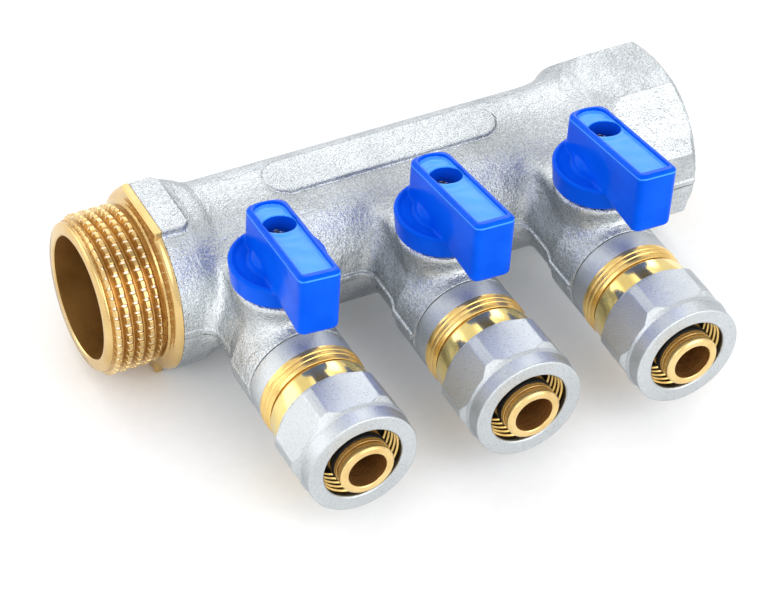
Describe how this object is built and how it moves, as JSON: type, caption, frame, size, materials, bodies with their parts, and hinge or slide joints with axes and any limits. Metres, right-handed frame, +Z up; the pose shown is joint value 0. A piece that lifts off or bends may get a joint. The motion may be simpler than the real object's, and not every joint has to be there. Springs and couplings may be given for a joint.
{
  "type": "distribution manifold",
  "caption": "Header with threaded ends and a row of outlets, each shut by a small ball valve with a lever and closed by a compression nut for plastic pipe.",
  "frame": {"origin": "centre of the male end's face, on the header's axis", "axes": "+X along the header to the female end, +Z up along the valve stems, outlets towards -Y"},
  "size_m": [0.1332, 0.0862, 0.0538],
  "materials": {
    "nickel": "sand-blasted nickel plate on forged brass",
    "brass": "bright turned brass",
    "blue_plastic": "glossy moulded nylon",
    "chromed_ball": "polished chrome plate on brass",
    "ptfe": "white PTFE",
    "black_rubber": "black EPDM",
    "zinc_screw": "zinc-plated steel"
  },
  "bodies": {
    "manifold": {"manifold_body": "nickel", "inner_seat_1": "ptfe", "outer_seat_1": "ptfe", "outlet_connector_1": "brass", "nozzle_o_rings_1": "black_rubber", "insulating_washer_1": "black_rubber", "inner_seat_2": "ptfe", "outer_seat_2": "ptfe", "outlet_connector_2": "brass", "nozzle_o_rings_2": "black_rubber", "insulating_washer_2": "black_rubber", "inner_seat_3": "ptfe", "outer_seat_3": "ptfe", "outlet_connector_3": "brass", "nozzle_o_rings_3": "black_rubber", "insulating_washer_3": "black_rubber"},
    "valve_1": {"valve_ball_1": "chromed_ball", "valve_stem_1": "brass", "stem_washer_1": "ptfe", "stem_o_rings_1": "black_rubber", "handle_1": "blue_plastic", "handle_screw_1": "zinc_screw"},
    "olive_1": {"split_olive_1": "brass"},
    "nut_1": {"compression_nut_1": "nickel"},
    "valve_2": {"valve_ball_2": "chromed_ball", "valve_stem_2": "brass", "stem_washer_2": "ptfe", "stem_o_rings_2": "black_rubber", "handle_2": "blue_plastic", "handle_screw_2": "zinc_screw"},
    "olive_2": {"split_olive_2": "brass"},
    "nut_2": {"compression_nut_2": "nickel"},
    "valve_3": {"valve_ball_3": "chromed_ball", "valve_stem_3": "brass", "stem_washer_3": "ptfe", "stem_o_rings_3": "black_rubber", "handle_3": "blue_plastic", "handle_screw_3": "zinc_screw"},
    "olive_3": {"split_olive_3": "brass"},
    "nut_3": {"compression_nut_3": "nickel"}
  },
  "joints": [
    {"name": "valve_turn_1", "type": "hinge", "parent": "manifold", "child": "valve_1", "pos_m": [0.0306, -0.0271, 0.02], "axis": [0, 0, -1], "range_deg": [-5, 85]},
    {"name": "nut_travel_1", "type": "slide", "parent": "manifold", "child": "olive_1", "axis": [0, -1, 0], "range_m": [0, 0.0075]},
    {"name": "nut_turn_1", "type": "hinge", "parent": "olive_1", "child": "nut_1", "pos_m": [0.0306, -0.055, 0], "axis": [0, -1, 0], "range_deg": [0, 1800]},
    {"name": "valve_turn_2", "type": "hinge", "parent": "manifold", "child": "valve_2", "pos_m": [0.0666, -0.0271, 0.02], "axis": [0, 0, -1], "range_deg": [-2.5, 87.5]},
    {"name": "nut_travel_2", "type": "slide", "parent": "manifold", "child": "olive_2", "axis": [0, -1, 0], "range_m": [0, 0.0075]},
    {"name": "nut_turn_2", "type": "hinge", "parent": "olive_2", "child": "nut_2", "pos_m": [0.0666, -0.055, 0], "axis": [0, -1, 0], "range_deg": [0, 1800]},
    {"name": "valve_turn_3", "type": "hinge", "parent": "manifold", "child": "valve_3", "pos_m": [0.1026, -0.0271, 0.02], "axis": [0, 0, -1], "range_deg": [-2.5, 87.5]},
    {"name": "nut_travel_3", "type": "slide", "parent": "manifold", "child": "olive_3", "axis": [0, -1, 0], "range_m": [0, 0.0075]},
    {"name": "nut_turn_3", "type": "hinge", "parent": "olive_3", "child": "nut_3", "pos_m": [0.1026, -0.055, 0], "axis": [0, -1, 0], "range_deg": [0, 1800]}
  ],
  "couplings": [
    {"joint": "nut_turn_1", "follows": "nut_travel_1", "rad_per_m": 4188.8},
    {"joint": "nut_turn_2", "follows": "nut_travel_2", "rad_per_m": 4188.8},
    {"joint": "nut_turn_3", "follows": "nut_travel_3", "rad_per_m": 4188.8}
  ]
}
